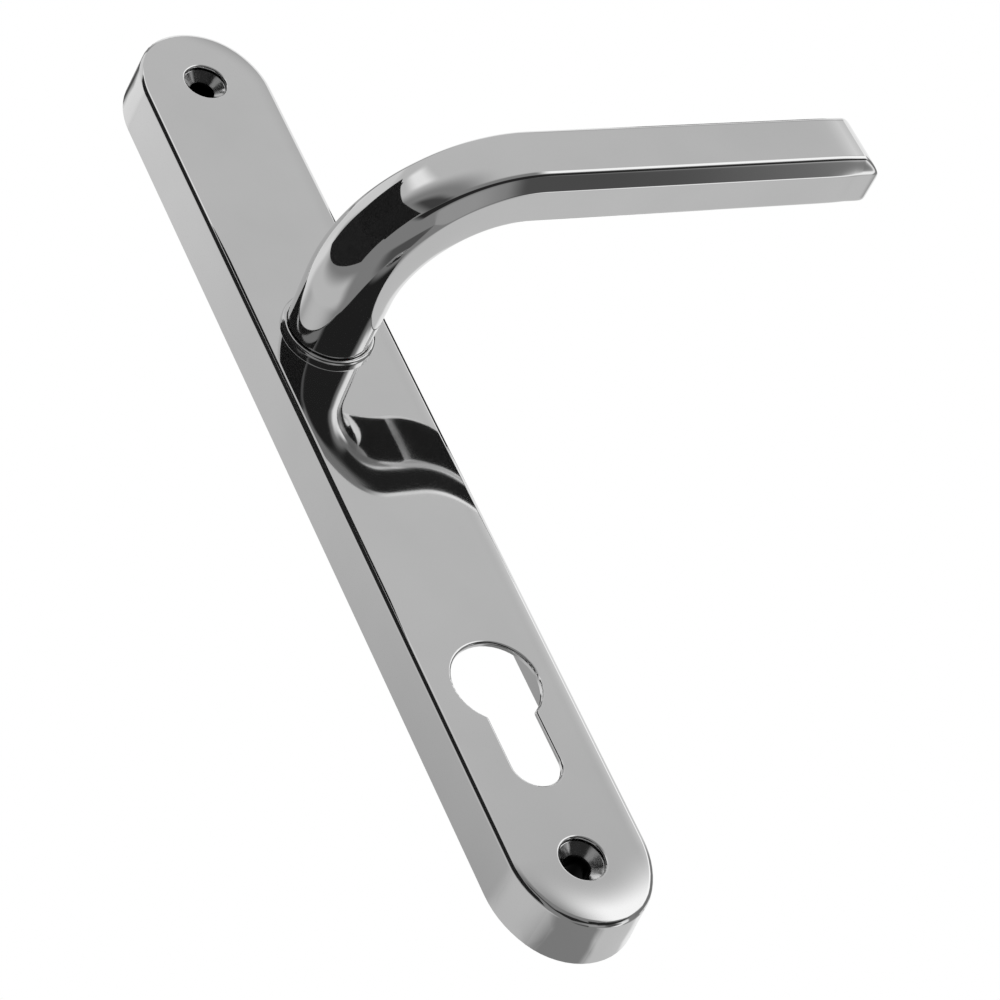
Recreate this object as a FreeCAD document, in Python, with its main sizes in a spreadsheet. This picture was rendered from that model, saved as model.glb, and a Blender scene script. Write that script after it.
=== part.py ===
import FreeCAD, Part
import math
import os
import re

import Sketcher

# Sprung lever door handle on a long backplate, with a euro-profile cylinder cut-out.
#
# The plate stands upright: +Z is up, the front faces -Y, and the door lies against y = 0.
# The origin is where the spindle axis meets the door face. "Depth" below is the distance
# from the door face towards the front, so a depth of 12 is the plane y = -12.

SIZES = [
    # Backplate cover
    ("plate_half_width", 15.25, "half width of the cover's front face"),
    ("plate_depth", 12.0, "door face to front face"),
    ("plate_flare", 0.75, "how much the side walls lean out at the door, from the draft"),
    ("top_straight", 71.45, "spindle to the end of the straight sides, upwards"),
    ("bottom_straight", 131.95, "spindle to the end of the straight sides, downwards"),
    ("end_side_gain", 4.75, "radius of an end's side arcs, over the half width"),
    ("end_nose_drop", 1.05, "radius of an end's nose arc, under the half width"),
    ("wall", 1.2, "thickness of the side walls"),
    ("skin", 1.2, "thickness of the front face"),
    ("arris_radius", 1.3, "rounding of the front edge"),
    ("hole_rounding", 0.6, "rounding of the edges of the cut-outs"),
    # Cylinder cut-out
    ("cylinder_drop", 92.0, "spindle axis to the centre of the cylinder's round part"),
    ("cutout_radius", 9.5, "round part of the euro cut-out"),
    ("cutout_slot_radius", 5.4, "slot part of the euro cut-out"),
    ("cutout_height", 34.5, "whole height of the euro cut-out"),
    ("cutout_corner", 0.9, "rounding where the round part meets the slot"),
    # Fixings
    ("fixing_rise", 73.75, "spindle axis to the top fixing"),
    ("fixing_drop", 134.25, "spindle axis to the bottom fixing"),
    ("fixing_hole", 4.75, "radius of the fixing holes in the cover"),
    ("screw_clearance", 2.85, "radius of the hole for an M5 fixing screw"),
    ("countersink_mouth", 4.7, "radius of the countersink's mouth"),
    ("pillar_radius", 6.0, "outside of a fixing pillar"),
    # Collar and bearing
    ("collar_tube", 9.7, "outside of the collar where it passes the cover"),
    ("collar_clearance", 0.05, "cover hole over the collar tube"),
    ("bead_radius", 10.3, "outside of the bead in front of the cover"),
    ("bead_height", 1.5, "how far the bead stands off the front face"),
    ("bead_rounding", 0.8, "rounding of the bead's rim, outside"),
    ("bead_bore", 9.4, "inside of the bead, round the neck"),
    ("bush_radius", 8.3, "outside of the neck bush"),
    ("bush_flange", 0.5, "thickness of the bush's flange"),
    ("collar_flange", 1.2, "thickness of the collar's flange"),
    ("running_gap", 0.06, "clearance of the spigot in the bush"),
    ("axial_gap", 0.1, "end float between turning and fixed faces"),
    # Spring cassette
    ("cassette_half_width", 13.8, "half width of the spring cassette"),
    ("cassette_half_height", 23.0, "half height of the spring cassette"),
    ("cassette_corner", 3.0, "corner radius of the spring cassette"),
    ("cassette_lift", 0.5, "door face to the back of the cassette"),
    ("cassette_lid", 1.5, "thickness of the cassette's lid"),
    ("cassette_screw_x", 10.6, "cassette screws from the spindle axis, sideways"),
    ("cassette_screw_z", 19.0, "cassette screws from the spindle axis, up and down"),
    ("cassette_screw", 1.25, "radius of an M2.5 cassette screw"),
    ("cassette_head", 2.3, "radius of a cassette screw's head"),
    ("cavity_radius", 9.6, "round cavity of the spring frame"),
    ("sector_radius", 14.3, "cavity that the spring legs swing in"),
    ("sector_half_angle", 60.0, "half angle of that cavity, which stops the lever"),
    ("driver_radius", 8.9, "driver plate"),
    ("driver_thickness", 1.6, "thickness of the driver plate"),
    ("driver_tab_half_width", 2.2, "half width of the driver's tab"),
    ("pin_radius", 1.0, "radius of the drive pin and the anchor pin"),
    ("drive_pin_radius", 10.2, "drive pin from the spindle axis"),
    ("anchor_pin_radius", 12.6, "anchor pin from the spindle axis"),
    ("pin_end_gap", 0.4, "free end of a pin to the lid"),
    ("wire_radius", 0.6, "spring wire"),
    ("coil_radius", 7.9, "middle of the spring wire from the axis"),
    ("coil_pitch", 1.25, "spring wire from turn to turn"),
    ("spring_leg_reach", 13.9, "tip of a spring leg from the axis"),
    ("leg_gap", 0.05, "spring leg to the pins it bears on"),
    ("clip_thickness", 0.8, "thickness of the retaining clip"),
    ("clip_radius", 8.7, "outside of the retaining clip"),
    ("clip_gap_half_width", 2.4, "half of the retaining clip's opening"),
    ("groove_radius", 6.3, "bottom of the groove for the clip"),
    ("thrust_washer_radius", 9.2, "outside of the thrust washer"),
    ("thrust_washer_thickness", 0.45, "thickness of the thrust washer"),
    ("spring_washer_thickness", 0.3, "thickness of the conical spring washer"),
    ("spring_washer_cone", 0.25, "height of that washer's cone"),
    # Lever
    ("spigot_radius", 7.0, "the lever's spigot, in the bush"),
    ("spigot_flat", 6.2, "half width across the spigot's two flats"),
    ("spindle_square", 4.05, "half width of the socket for an 8 mm spindle"),
    ("spindle_depth", 28.0, "depth of the spindle socket"),
    ("neck_radius", 9.2, "the neck, at the collar"),
    ("neck_swell", 0.3, "how much the neck swells before the bend"),
    ("bar_front", 63.8, "door face to the front of the grip"),
    ("bar_back", 50.8, "door face to the back of the grip"),
    ("bar_half_height", 7.85, "half height of the grip"),
    ("bar_face_half", 6.05, "half height of the grip's flat front"),
    ("bar_chamfer", 3.8, "depth of the chamfer beside the flat front"),
    ("bar_corner", 1.6, "rounding of the grip's back corners"),
    ("bend_radius", 30.7, "bend of the lever's centre line"),
    ("blend_start", 15.0, "angle round the bend where the section starts to change"),
    ("lever_length", 117.0, "spindle axis to the tip of the grip"),
    ("tip_radius", 13.0, "rounding of the grip's tip, seen from above"),
    ("tip_front_rise", 1.6, "how far the tip's rounding starts above its middle"),
    ("tip_back_corner", 1.5, "rounding of the tip's back corner"),
    ("tip_back_break", 0.15, "how far that rounding runs past the grip's back"),
]
# End inserts: how far each reaches from its fixing towards the middle of the plate
INSERT_REACH = ("insert_reach", 11.0, "fixing to the inner end of an end insert")
INSERT_GAP = ("insert_gap", 0.2, "end insert to the cover's walls")
SIZES += [INSERT_REACH, INSERT_GAP]

doc = FreeCAD.newDocument("lever_handle")
sheet = doc.addObject("Spreadsheet::Sheet", "Sizes")


def fill_sheet():
    """Write each size to a cell of its own, with its alias and its meaning."""
    for row, (alias, value, meaning) in enumerate(SIZES, start=1):
        sheet.set(f"A{row}", alias)
        sheet.set(f"B{row}", str(value))
        sheet.set(f"C{row}", meaning)
        sheet.setAlias(f"B{row}", alias)
    doc.recompute()


fill_sheet()
ALIASES = [alias for alias, _, _ in SIZES]


def size(alias):
    """Read one size from the sheet, in millimetres."""
    return float(getattr(sheet, alias))


def bound(text):
    """Turn plain words such as 'wall + skin' into an expression on the sheet."""
    return re.sub("[a-z_]+", lambda word: f"Sizes.{word[0]}" if word[0] in ALIASES else word[0], text)


def value_of(text):
    """Work out an expression on the sheet now, as a number."""
    result = sheet.evalExpression(bound(text))
    return float(getattr(result, "Value", result))


# ---------------------------------------------------------------- building helpers

def new_body(name):
    """Start a body whose label is the name of its file."""
    body = doc.addObject("PartDesign::Body", name)
    body.Label = name
    return body


def origin_plane(body, role):
    """Find one of the body's own origin planes."""
    return next(item for item in body.Origin.OriginFeatures if item.Role == role)


def sketch_at(body, name, depth="0", role="XZ_Plane"):
    """Start a sketch that faces the front, at a depth; or one on another origin plane."""
    sketch = body.newObject("Sketcher::SketchObject", f"{body.Name}_{name}")
    sketch.AttachmentSupport = [(origin_plane(body, role), "")]
    sketch.MapMode = "FlatFace"
    sketch.setExpression("AttachmentOffset.Base.z", bound(depth))
    return sketch


def dimension(sketch, kind, place, text):
    """Add a dimension to a sketch and bind it to the sheet."""
    index = sketch.addConstraint(Sketcher.Constraint(kind, *place, value_of(text)))
    sketch.setExpression(f"Constraints[{index}]", bound(text))


def add_circle(sketch, radius, x="0", z="0"):
    """Draw a circle with its centre at (x, z)."""
    centre = FreeCAD.Vector(value_of(x), value_of(z), 0)
    circle = sketch.addGeometry(Part.Circle(centre, FreeCAD.Vector(0, 0, 1), value_of(radius)))
    dimension(sketch, "Radius", (circle,), radius)
    dimension(sketch, "DistanceX", (-1, 1, circle, 3), x)
    dimension(sketch, "DistanceY", (-1, 1, circle, 3), z)


def add_polygon(sketch, corners):
    """Draw a closed polygon whose corners are pairs of expressions."""
    points = [FreeCAD.Vector(value_of(x), value_of(z), 0) for x, z in corners]
    count = len(points)
    lines = [
        sketch.addGeometry(Part.LineSegment(points[i], points[(i + 1) % count]))
        for i in range(count)
    ]
    for i in range(count):
        sketch.addConstraint(Sketcher.Constraint("Coincident", lines[i - 1], 2, lines[i], 1))
    for line, (x, z) in zip(lines, corners):
        dimension(sketch, "DistanceX", (-1, 1, line, 1), x)
        dimension(sketch, "DistanceY", (-1, 1, line, 1), z)


def add_rectangle(sketch, left, right, low, high):
    """Draw a rectangle from four expressions."""
    add_polygon(sketch, [(left, low), (right, low), (right, high), (left, high)])


def add_arc(sketch, centre, radius, start, end):
    """Draw an arc from angle to angle, in degrees."""
    circle = Part.Circle(FreeCAD.Vector(*centre, 0), FreeCAD.Vector(0, 0, 1), radius)
    return sketch.addGeometry(Part.ArcOfCircle(circle, math.radians(start), math.radians(end)))


def end_arcs(sketch, grow, tangent, direction):
    """Draw one rounded end of the plate: a side arc, the nose arc and a side arc.

    The arcs run anticlockwise. direction is 1 for the top end and -1 for the bottom one.
    """
    half = value_of(f"plate_half_width + {grow}")
    side = half + size("end_side_gain")
    nose = half - size("end_nose_drop")
    level = value_of(tangent)
    rise = math.sqrt((side - nose) ** 2 - size("end_side_gain") ** 2)
    split = math.degrees(math.atan2(rise, size("end_side_gain")))
    turn = 0 if direction == 1 else 180
    offset = direction * size("end_side_gain")
    first = add_arc(sketch, (-offset, level), side, turn, turn + split)
    middle = add_arc(
        sketch, (0, level + direction * rise), nose, turn + split, turn + 180 - split
    )
    last = add_arc(sketch, (offset, level), side, turn + 180 - split, turn + 180)
    sketch.addConstraint(Sketcher.Constraint("Tangent", first, 2, middle, 1))
    sketch.addConstraint(Sketcher.Constraint("Tangent", middle, 2, last, 1))
    sketch.addConstraint(Sketcher.Constraint("Equal", first, last))
    dimension(sketch, "Radius", (first,), f"plate_half_width + end_side_gain + {grow}")
    dimension(sketch, "Radius", (middle,), f"plate_half_width - end_nose_drop + {grow}")
    dimension(sketch, "DistanceY", (-1, 1, first, 1), tangent)
    dimension(sketch, "DistanceY", (-1, 1, last, 2), tangent)
    return first, last


def add_plate_outline(sketch, grow):
    """Draw the plate's outline, grown by an expression: straight sides and two round ends."""
    half = f"plate_half_width + {grow}"
    top_first, top_last = end_arcs(sketch, grow, "top_straight", 1)
    low_first, low_last = end_arcs(sketch, grow, "0 - bottom_straight", -1)
    x = value_of(half)
    high = size("top_straight")
    low = -size("bottom_straight")
    left = sketch.addGeometry(
        Part.LineSegment(FreeCAD.Vector(-x, high, 0), FreeCAD.Vector(-x, low, 0))
    )
    right = sketch.addGeometry(
        Part.LineSegment(FreeCAD.Vector(x, low, 0), FreeCAD.Vector(x, high, 0))
    )
    for before, after in ((top_last, left), (left, low_first), (low_last, right), (right, top_first)):
        sketch.addConstraint(Sketcher.Constraint("Tangent", before, 2, after, 1))
    dimension(sketch, "DistanceX", (-1, 1, right, 1), half)
    dimension(sketch, "DistanceX", (left, 1, -1, 1), half)


def add_euro_profile(sketch):
    """Draw the euro cut-out: a round part over a round-ended slot."""
    radius = size("cutout_radius")
    slot = size("cutout_slot_radius")
    centre = -size("cylinder_drop")
    drop = value_of("cutout_height - cutout_radius - cutout_slot_radius")
    notch = math.degrees(math.acos(slot / radius))
    round_part = add_arc(sketch, (0, centre), radius, -notch, 180 + notch)
    slot_end = add_arc(sketch, (0, centre - drop), slot, 180, 360)
    shoulder = centre - math.sqrt(radius ** 2 - slot ** 2)
    left = sketch.addGeometry(Part.LineSegment(
        FreeCAD.Vector(-slot, shoulder, 0), FreeCAD.Vector(-slot, centre - drop, 0)))
    right = sketch.addGeometry(Part.LineSegment(
        FreeCAD.Vector(slot, centre - drop, 0), FreeCAD.Vector(slot, shoulder, 0)))
    sketch.addConstraint(Sketcher.Constraint("Coincident", round_part, 2, left, 1))
    sketch.addConstraint(Sketcher.Constraint("Coincident", right, 2, round_part, 1))
    sketch.addConstraint(Sketcher.Constraint("Tangent", left, 2, slot_end, 1))
    sketch.addConstraint(Sketcher.Constraint("Tangent", slot_end, 2, right, 1))
    for line in (left, right):
        sketch.addConstraint(Sketcher.Constraint("Vertical", line))
    for arc in (round_part, slot_end):
        sketch.addConstraint(Sketcher.Constraint("PointOnObject", arc, 3, -2))
    dimension(sketch, "Radius", (round_part,), "cutout_radius")
    dimension(sketch, "Radius", (slot_end,), "cutout_slot_radius")
    dimension(sketch, "DistanceY", (-1, 1, round_part, 3), "0 - cylinder_drop")
    dimension(sketch, "DistanceY", (slot_end, 3, round_part, 3),
              "cutout_height - cutout_radius - cutout_slot_radius")


def pad(body, sketch, length):
    """Raise a sketch towards the front by a length."""
    feature = body.newObject("PartDesign::Pad", f"{sketch.Name}_pad")
    feature.Profile = sketch
    feature.setExpression("Length", bound(length))
    doc.recompute()
    return feature


def cut(body, sketch, length, both_ways=False):
    """Cut a sketch towards the front by a length, and check that it removed something."""
    before = body.Shape.Volume
    feature = body.newObject("PartDesign::Pocket", f"{sketch.Name}_cut")
    feature.Profile = sketch
    feature.setExpression("Length", bound(length))
    feature.Reversed = not both_ways
    feature.Midplane = both_ways
    doc.recompute()
    if body.Shape.Volume > before - 0.01:
        raise RuntimeError(f"{feature.Name} cuts nothing")
    return feature


def revolve(body, sketch, groove=False):
    """Turn a sketch on the XY plane about the spindle axis."""
    kind = "PartDesign::Groove" if groove else "PartDesign::Revolution"
    before = body.Shape.Volume if groove else 0.0
    feature = body.newObject(kind, f"{sketch.Name}_turned")
    feature.Profile = sketch
    feature.ReferenceAxis = (sketch, ["V_Axis"])
    feature.Angle = 360
    doc.recompute()
    if groove and body.Shape.Volume > before - 0.01:
        raise RuntimeError(f"{feature.Name} cuts nothing")
    return feature


def edges_where(body, test):
    """Name the edges of a body that pass a test."""
    return [f"Edge{i}" for i, edge in enumerate(body.Shape.Edges, start=1) if test(edge)]


def lies_at_depth(edge, depth):
    """True for an edge that lies wholly in the plane at a depth."""
    box = edge.BoundBox
    return abs(box.YMin + depth) < 1e-4 and abs(box.YMax + depth) < 1e-4


def runs_front_to_back(edge):
    """True for a straight edge parallel to the spindle."""
    box = edge.BoundBox
    return box.XLength < 1e-4 and box.ZLength < 1e-4 and box.YLength > 0.1


def round_edges(body, edges, radius, name):
    """Round some edges of a body."""
    if not edges:
        raise RuntimeError(f"{body.Name}: no edges for {name}")
    base = body.Tip
    feature = body.newObject("PartDesign::Fillet", f"{body.Name}_{name}")
    feature.Base = (base, edges)
    feature.setExpression("Radius", bound(radius))
    doc.recompute()
    return feature


def countersink(body, edges, width):
    """Cut a 45 degree countersink round some hole rims."""
    before = body.Shape.Volume
    base = body.Tip
    feature = body.newObject("PartDesign::Chamfer", f"{body.Name}_countersink")
    feature.Base = (base, edges)
    feature.setExpression("Size", bound(width))
    doc.recompute()
    if body.Shape.Volume > before - 0.01:
        raise RuntimeError(f"{body.Name} has no countersink")
    return feature


def ring(name, inner, outer, depth, thickness):
    """Make a flat ring about the spindle axis."""
    body = new_body(name)
    sketch = sketch_at(body, "ring", depth)
    add_circle(sketch, outer)
    add_circle(sketch, inner)
    pad(body, sketch, thickness)
    return body


# ---------------------------------------------------------------- depths that stack up

FLANGE_BACK = "( plate_depth - skin - collar_flange )"
LID_FRONT = "( cassette_lift + cassette_lid )"
BUSH_SEAT = "( plate_depth - bush_flange + axial_gap )"
NECK_END = "( plate_depth + 2 * axial_gap )"
WASHER_BACK = f"( {FLANGE_BACK} - axial_gap / 2 - thrust_washer_thickness )"
SPRING_WASHER_BACK = f"( {WASHER_BACK} - spring_washer_thickness - spring_washer_cone )"
CLIP_BACK = f"( {SPRING_WASHER_BACK} - axial_gap - clip_thickness )"
DRIVER_BACK = f"( {CLIP_BACK} - axial_gap - driver_thickness )"
SPIGOT_BORE = "( spigot_radius + running_gap )"
BAR_MIDDLE = "( ( bar_front + bar_back ) / 2 )"
CASSETTE_SCREWS = [
    (f"0 {a} cassette_screw_x", f"0 {b} cassette_screw_z") for a in "+-" for b in "+-"
]
FIXINGS = {"top": ("fixing_rise", 1), "bottom": ("0 - fixing_drop", -1)}


# ---------------------------------------------------------------- the cover

def make_cover():
    """The long cover: a thin shell, open at the back, with draft on its walls."""
    body = new_body("cover_plate")
    draft = "atan( plate_flare / plate_depth )"
    front = sketch_at(body, "front_outline", "plate_depth")
    add_plate_outline(front, "0")
    outside = pad(body, front, "plate_depth")
    outside.Reversed = True
    outside.setExpression("TaperAngle", bound(draft))
    doc.recompute()
    depth = size("plate_depth")
    round_edges(body, edges_where(body, lambda e: lies_at_depth(e, depth)), "arris_radius", "arris")

    floor = sketch_at(body, "cavity_floor", "plate_depth - skin")
    add_plate_outline(floor, "0 - wall")
    before = body.Shape.Volume
    inside = cut(body, floor, "plate_depth - skin")
    inside.Reversed = False
    inside.setExpression("TaperAngle", bound(draft))
    doc.recompute()
    if body.Shape.Volume > before / 2:
        raise RuntimeError("the cover is not hollow")

    for name, (level, _) in FIXINGS.items():
        hole = sketch_at(body, f"{name}_fixing")
        add_circle(hole, "fixing_hole", "0", level)
        cut(body, hole, "plate_depth + 1")
    collar = sketch_at(body, "collar_hole")
    add_circle(collar, "collar_tube + collar_clearance")
    cut(body, collar, "plate_depth + 1")
    euro = sketch_at(body, "euro_cutout")
    add_euro_profile(euro)
    cut(body, euro, "plate_depth + 1")
    round_edges(body, edges_where(body, runs_front_to_back), "cutout_corner", "cutout_corners")

    def rim_of_a_cutout(edge):
        """True for the front edges of the fixing holes and the euro cut-out."""
        box = edge.BoundBox
        near_collar = abs(box.Center.z) < size("bead_radius")
        is_small = box.XMax < size("cutout_radius") + 0.1 and box.ZLength < size("cutout_height")
        return lies_at_depth(edge, depth) and is_small and not near_collar

    round_edges(body, edges_where(body, rim_of_a_cutout), "hole_rounding", "cutout_rims")
    return body


# ---------------------------------------------------------------- collar and bearing

def make_collar():
    """The bearing collar: a flange behind the cover and a bead rolled over its front."""
    body = new_body("bearing_collar")
    flange = sketch_at(body, "flange", FLANGE_BACK)
    add_rectangle(flange, "0 - cassette_half_width", "cassette_half_width",
                  "0 - cassette_half_height", "cassette_half_height")
    pad(body, flange, "collar_flange")
    round_edges(body, edges_where(body, runs_front_to_back), "cassette_corner", "corners")
    tube = sketch_at(body, "tube", FLANGE_BACK)
    add_circle(tube, "collar_tube")
    pad(body, tube, f"plate_depth - {FLANGE_BACK}")
    bead = sketch_at(body, "bead", "plate_depth")
    add_circle(bead, "bead_radius")
    pad(body, bead, "bead_height")
    rim = size("plate_depth") + size("bead_height")
    round_edges(body, edges_where(body, lambda e: lies_at_depth(e, rim)), "bead_rounding", "rim")
    bore = sketch_at(body, "bore")
    add_circle(bore, "bush_radius")
    cut(body, bore, "plate_depth + bead_height + 1")
    seat = sketch_at(body, "bush_seat", BUSH_SEAT)
    add_circle(seat, "bead_bore")
    cut(body, seat, "bead_height + bush_flange + 1")
    taps = sketch_at(body, "screw_taps")
    for x, z in CASSETTE_SCREWS:
        add_circle(taps, "cassette_screw", x, z)
    cut(body, taps, "plate_depth - skin")
    anchor = sketch_at(body, "anchor_hole")
    add_circle(anchor, "pin_radius", "0", "anchor_pin_radius")
    cut(body, anchor, "plate_depth - skin")
    return body


def make_bush():
    """The nylon bush that the neck turns in, with a flange under the neck."""
    body = new_body("neck_bush")
    sleeve = sketch_at(body, "sleeve", FLANGE_BACK)
    add_circle(sleeve, "bush_radius")
    add_circle(sleeve, SPIGOT_BORE)
    pad(body, sleeve, f"{BUSH_SEAT} - {FLANGE_BACK}")
    flange = sketch_at(body, "flange", BUSH_SEAT)
    add_circle(flange, "bead_bore - axial_gap")
    add_circle(flange, SPIGOT_BORE)
    pad(body, flange, "bush_flange")
    return body


def make_spring_washer():
    """The conical spring washer that takes up the end float."""
    body = new_body("spring_washer")
    sketch = sketch_at(body, "section", "0", "XY_Plane")
    inner = f"{SPIGOT_BORE}"
    outer = "( clip_radius )"
    low = f"0 - {SPRING_WASHER_BACK}"
    add_polygon(sketch, [
        (inner, low),
        (outer, f"{low} - spring_washer_cone"),
        (outer, f"{low} - spring_washer_cone - spring_washer_thickness"),
        (inner, f"{low} - spring_washer_thickness"),
    ])
    revolve(body, sketch)
    return body


def make_clip():
    """The retaining clip: a split ring in the spigot's groove, with two ears."""
    body = ring("retaining_clip", "groove_radius", "clip_radius", CLIP_BACK, "clip_thickness")
    gap = sketch_at(body, "gap")
    add_rectangle(gap, "0 - clip_gap_half_width", "clip_gap_half_width", "0 - clip_radius - 1", "0")
    cut(body, gap, "plate_depth")
    return body


# ---------------------------------------------------------------- spring cassette

def make_frame():
    """The spring frame: a die-cast ring with room for the spring's legs to swing."""
    body = new_body("spring_frame")
    block = sketch_at(body, "block", LID_FRONT)
    add_rectangle(block, "0 - cassette_half_width", "cassette_half_width",
                  "0 - cassette_half_height", "cassette_half_height")
    pad(body, block, f"{FLANGE_BACK} - {LID_FRONT}")
    round_edges(body, edges_where(body, runs_front_to_back), "cassette_corner", "corners")
    well = sketch_at(body, "well")
    add_circle(well, "cavity_radius")
    cut(body, well, "plate_depth")
    sector = sketch_at(body, "sector")
    reach = size("sector_radius")
    half = size("sector_half_angle")
    arc = add_arc(sector, (0, 0), reach, 90 - half, 90 + half)
    start = FreeCAD.Vector(reach * math.sin(math.radians(half)), reach * math.cos(math.radians(half)), 0)
    end = FreeCAD.Vector(-start.x, start.y, 0)
    centre = FreeCAD.Vector(0, 0, 0)
    right = sector.addGeometry(Part.LineSegment(centre, start))
    left = sector.addGeometry(Part.LineSegment(end, centre))
    sector.addConstraint(Sketcher.Constraint("Coincident", right, 2, arc, 1))
    sector.addConstraint(Sketcher.Constraint("Coincident", arc, 2, left, 1))
    sector.addConstraint(Sketcher.Constraint("Coincident", right, 1, -1, 1))
    sector.addConstraint(Sketcher.Constraint("Coincident", left, 2, -1, 1))
    sector.addConstraint(Sketcher.Constraint("Coincident", arc, 3, -1, 1))
    dimension(sector, "Radius", (arc,), "sector_radius")
    dimension(sector, "DistanceX", (-1, 1, arc, 1), "sector_radius * sin( sector_half_angle * 1 deg )")
    dimension(sector, "DistanceX", (arc, 2, -1, 1), "sector_radius * sin( sector_half_angle * 1 deg )")
    cut(body, sector, "plate_depth")
    holes = sketch_at(body, "screw_holes")
    for x, z in CASSETTE_SCREWS:
        add_circle(holes, "cassette_screw + axial_gap", x, z)
    cut(body, holes, "plate_depth")
    return body


def make_lid():
    """The steel lid over the cassette, with countersunk screw holes."""
    body = new_body("cassette_lid")
    plate = sketch_at(body, "plate", "cassette_lift")
    add_rectangle(plate, "0 - cassette_half_width", "cassette_half_width",
                  "0 - cassette_half_height", "cassette_half_height")
    pad(body, plate, "cassette_lid")
    round_edges(body, edges_where(body, runs_front_to_back), "cassette_corner", "corners")
    middle = sketch_at(body, "spigot_hole")
    add_circle(middle, "spigot_radius + 3 * axial_gap")
    cut(body, middle, "plate_depth")
    holes = sketch_at(body, "screw_holes")
    for x, z in CASSETTE_SCREWS:
        add_circle(holes, "cassette_screw + axial_gap", x, z)
    cut(body, holes, "plate_depth")
    back = size("cassette_lift")
    rims = edges_where(body, lambda e: lies_at_depth(e, back) and e.isClosed() and e.BoundBox.XLength < 4)
    countersink(body, rims, "cassette_head - cassette_screw")
    return body


def make_driver():
    """The driver plate: two flats on the spigot turn it, and its tab holds the drive pin."""
    body = new_body("driver_plate")
    disc = sketch_at(body, "disc", DRIVER_BACK)
    add_circle(disc, "driver_radius")
    pad(body, disc, "driver_thickness")
    tab = sketch_at(body, "tab", DRIVER_BACK)
    add_rectangle(tab, "0 - driver_tab_half_width", "driver_tab_half_width",
                  "spigot_radius", "drive_pin_radius + pin_radius + axial_gap")
    pad(body, tab, "driver_thickness")
    bore = sketch_at(body, "bore")
    half = size("spigot_flat") + size("running_gap")
    radius = value_of(SPIGOT_BORE)
    lift = math.degrees(math.acos(half / radius))
    height = math.sqrt(radius ** 2 - half ** 2)
    top = add_arc(bore, (0, 0), radius, lift, 180 - lift)
    low = add_arc(bore, (0, 0), radius, 180 + lift, 360 - lift)
    left = bore.addGeometry(Part.LineSegment(
        FreeCAD.Vector(-half, height, 0), FreeCAD.Vector(-half, -height, 0)))
    right = bore.addGeometry(Part.LineSegment(
        FreeCAD.Vector(half, -height, 0), FreeCAD.Vector(half, height, 0)))
    for before, after in ((top, left), (left, low), (low, right), (right, top)):
        bore.addConstraint(Sketcher.Constraint("Coincident", before, 2, after, 1))
    for arc in (top, low):
        bore.addConstraint(Sketcher.Constraint("Coincident", arc, 3, -1, 1))
        dimension(bore, "Radius", (arc,), SPIGOT_BORE)
    for line in (left, right):
        bore.addConstraint(Sketcher.Constraint("Vertical", line))
    dimension(bore, "DistanceX", (-1, 1, right, 1), "spigot_flat + running_gap")
    dimension(bore, "DistanceX", (left, 1, -1, 1), "spigot_flat + running_gap")
    cut(body, bore, "plate_depth")
    hole = sketch_at(body, "pin_hole")
    add_circle(hole, "pin_radius", "0", "drive_pin_radius")
    cut(body, hole, "plate_depth")
    return body


def make_pin(name, place, front):
    """A dowel pin that runs from near the lid to the plate that holds it."""
    body = new_body(name)
    sketch = sketch_at(body, "section", f"{LID_FRONT} + pin_end_gap")
    add_circle(sketch, "pin_radius", "0", place)
    pad(body, sketch, f"{front} - {LID_FRONT} - pin_end_gap")
    return body


def make_spring():
    """The return spring: two turns round the spigot and two legs that straddle the pins."""
    body = new_body("return_spring")
    wire = size("wire_radius")
    coil = size("coil_radius")
    beside = size("pin_radius") + size("leg_gap") + wire
    start = math.degrees(math.asin(beside / coil))
    turns = 2 - 2 * start / 360
    back = value_of(LID_FRONT) + wire + size("leg_gap")
    pitch = size("coil_pitch")
    coil_wire = Part.makeHelix(pitch, pitch * turns, coil)
    coil_wire.rotate(FreeCAD.Vector(0, 0, 0), FreeCAD.Vector(0, 0, 1), 90 + start)
    first = coil_wire.Vertexes[0].Point
    section = Part.Wire(Part.makeCircle(wire, first, FreeCAD.Vector(-first.y, first.x, 0)))
    turned = Part.Wire(coil_wire).makePipeShell([section], True, True)
    solid = turned
    for side, level in ((-1, 0.0), (1, pitch * turns)):
        foot = FreeCAD.Vector(side * beside, coil * math.cos(math.radians(start)), level)
        reach = size("spring_leg_reach") - foot.y
        leg = Part.makeCylinder(wire, reach, foot, FreeCAD.Vector(0, 1, 0))
        knuckle = Part.makeSphere(wire, foot)
        solid = solid.fuse([leg, knuckle])
    # The spring was drawn about +Z; stand it on the spindle axis, facing the front.
    solid.rotate(FreeCAD.Vector(0, 0, 0), FreeCAD.Vector(1, 0, 0), 90)
    solid.translate(FreeCAD.Vector(0, -back, 0))
    form = doc.addObject("Part::Feature", "return_spring_form")
    form.Shape = solid.removeSplitter()
    body.BaseFeature = form
    doc.recompute()
    return body


# ---------------------------------------------------------------- fixings

def make_pillar(name, level):
    """A turned fixing pillar with a countersink for the screw's head."""
    body = new_body(name)
    post = sketch_at(body, "post")
    add_circle(post, "pillar_radius", "0", level)
    add_circle(post, "screw_clearance", "0", level)
    pad(body, post, "plate_depth - skin")
    front = value_of("plate_depth - skin")
    clear = size("screw_clearance")
    rim = edges_where(body, lambda e: lies_at_depth(e, front) and e.BoundBox.XLength < 2 * clear + 0.1)
    countersink(body, rim, "countersink_mouth - screw_clearance")
    return body


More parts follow.
